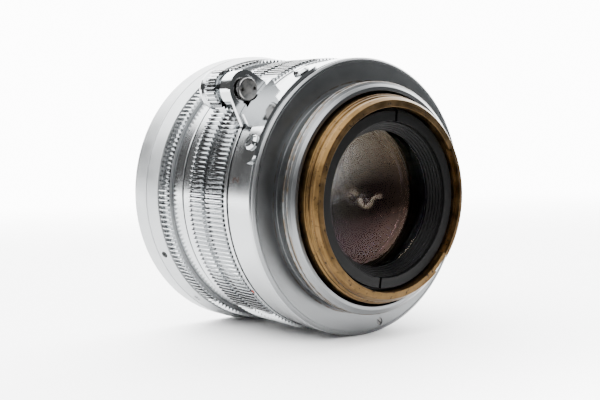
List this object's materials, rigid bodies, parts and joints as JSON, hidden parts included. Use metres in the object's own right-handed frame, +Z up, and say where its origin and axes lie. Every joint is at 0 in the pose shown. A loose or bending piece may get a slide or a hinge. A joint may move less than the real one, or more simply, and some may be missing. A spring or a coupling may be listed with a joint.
{
  "type": "screw-mount camera lens",
  "caption": "Fast standard rangefinder lens in chromed brass with knurled focus and aperture rings, sprung infinity lock, iris and bare brass focus-coupling cam",
  "frame": {"origin": "centre of the flat rear seating face of the mount flange, on the optical axis", "axes": "+Y along the optical axis out of the back, towards the camera body; -Y towards the subject; +Z up with the lock knob at the upper left seen from behind; +X to the left seen from behind"},
  "size_m": [0.0502, 0.0413, 0.0502],
  "materials": {
    "chrome_satin": "satin chrome plate on brass, fine turning lines, light wear",
    "chrome_bright": "polished chrome plate",
    "steel_dark": "oiled steel",
    "steel_worn": "worn dull steel",
    "brass_worn": "bare brass, turned, tarnished with small dark spots",
    "brass_bare": "turned brass",
    "black_ring": "semi-matt black anodised metal",
    "blade_steel": "blackened spring steel",
    "red_enamel": "red enamel",
    "coated_glass": "polished, blue-violet single coating"
  },
  "bodies": {
    "mount": {"mount_flange": "chrome_satin", "distance_scale_ring": "chrome_satin", "flange_lock_screw": "steel_dark", "catch_plate": "chrome_bright", "catch_screws": "chrome_bright", "bearing_sleeve": "brass_bare", "guide_keys": "brass_bare", "guide_key_screws": "steel_dark"},
    "focus": {"focus_ring": "chrome_satin", "index_dot": "red_enamel", "helicoid_sleeve": "brass_bare", "helicoid_screws": "steel_dark", "lock_bracket": "chrome_bright", "bracket_screws": "steel_dark"},
    "lock": {"lock_knob": "chrome_bright", "lock_plunger": "steel_dark", "lock_disc": "steel_worn", "lock_spring": "steel_dark"},
    "head": {"lens_tube": "brass_bare", "head_shell": "chrome_bright", "front_barrel": "chrome_satin", "name_ring": "black_ring", "front_cell": "black_ring", "front_retaining_ring": "black_ring", "doublet_retaining_ring": "black_ring", "glass_1": "coated_glass", "glass_2": "coated_glass", "glass_3": "coated_glass", "iris_base_plate": "black_ring", "iris_spacer": "black_ring", "rear_cell": "black_ring", "glass_4": "coated_glass", "glass_5": "coated_glass", "glass_6": "coated_glass", "glass_7": "coated_glass", "doublet_clamp_ring": "black_ring", "glass_6_seat_ring": "black_ring", "glass_7_spacer_ring": "black_ring", "rear_baffle": "black_ring", "rear_retaining_ring": "black_ring", "rangefinder_cam": "brass_worn"},
    "aperture": {"aperture_ring": "chrome_satin", "aperture_drive_screw": "steel_dark", "iris_actuating_ring": "black_ring"},
    "blade_1": {"iris_blade_01": "blade_steel"},
    "blade_2": {"iris_blade_02": "blade_steel"},
    "blade_3": {"iris_blade_03": "blade_steel"},
    "blade_4": {"iris_blade_04": "blade_steel"},
    "blade_5": {"iris_blade_05": "blade_steel"},
    "blade_6": {"iris_blade_06": "blade_steel"},
    "blade_7": {"iris_blade_07": "blade_steel"},
    "blade_8": {"iris_blade_08": "blade_steel"}
  },
  "joints": [
    {"name": "focus_turn", "type": "hinge", "parent": "mount", "child": "focus", "pos_m": [0, 0, 0], "axis": [0, -1, 0], "range_deg": [0, 170]},
    {"name": "lock_press", "type": "slide", "parent": "focus", "child": "lock", "axis": [0, 1, 0], "range_m": [0, 0.0012], "stiffness_N_per_m": 800, "springref_m": -0.0015, "deforming": ["lock_spring"]},
    {"name": "head_slide", "type": "slide", "parent": "mount", "child": "head", "axis": [0, -1, 0], "range_m": [0, 0.0028]},
    {"name": "aperture_turn", "type": "hinge", "parent": "head", "child": "aperture", "pos_m": [0, -0.027, 0], "axis": [0, -1, 0], "range_deg": [-45, 43]},
    {"name": "blade_1_turn", "type": "hinge", "parent": "head", "child": "blade_1", "pos_m": [0.0123, -0.0155, 0], "axis": [0, -1, 0], "range_deg": [-22.5, 21.5]},
    {"name": "blade_2_turn", "type": "hinge", "parent": "head", "child": "blade_2", "pos_m": [0.0087, -0.0155, 0.0087], "axis": [0, -1, 0], "range_deg": [-22.5, 21.5]},
    {"name": "blade_3_turn", "type": "hinge", "parent": "head", "child": "blade_3", "pos_m": [0, -0.0155, 0.0123], "axis": [0, -1, 0], "range_deg": [-22.5, 21.5]},
    {"name": "blade_4_turn", "type": "hinge", "parent": "head", "child": "blade_4", "pos_m": [-0.0087, -0.0155, 0.0087], "axis": [0, -1, 0], "range_deg": [-22.5, 21.5]},
    {"name": "blade_5_turn", "type": "hinge", "parent": "head", "child": "blade_5", "pos_m": [-0.0123, -0.0155, 0], "axis": [0, -1, 0], "range_deg": [-22.5, 21.5]},
    {"name": "blade_6_turn", "type": "hinge", "parent": "head", "child": "blade_6", "pos_m": [-0.0087, -0.0155, -0.0087], "axis": [0, -1, 0], "range_deg": [-22.5, 21.5]},
    {"name": "blade_7_turn", "type": "hinge", "parent": "head", "child": "blade_7", "pos_m": [0, -0.0155, -0.0123], "axis": [0, -1, 0], "range_deg": [-22.5, 21.5]},
    {"name": "blade_8_turn", "type": "hinge", "parent": "head", "child": "blade_8", "pos_m": [0.0087, -0.0155, -0.0087], "axis": [0, -1, 0], "range_deg": [-22.5, 21.5]}
  ],
  "couplings": [
    {"joint": "head_slide", "follows": "focus_turn", "m_per_rad": 0.0009437},
    {"joint": "blade_1_turn", "follows": "aperture_turn", "ratio": 0.5},
    {"joint": "blade_2_turn", "follows": "aperture_turn", "ratio": 0.5},
    {"joint": "blade_3_turn", "follows": "aperture_turn", "ratio": 0.5},
    {"joint": "blade_4_turn", "follows": "aperture_turn", "ratio": 0.5},
    {"joint": "blade_5_turn", "follows": "aperture_turn", "ratio": 0.5},
    {"joint": "blade_6_turn", "follows": "aperture_turn", "ratio": 0.5},
    {"joint": "blade_7_turn", "follows": "aperture_turn", "ratio": 0.5},
    {"joint": "blade_8_turn", "follows": "aperture_turn", "ratio": 0.5}
  ]
}
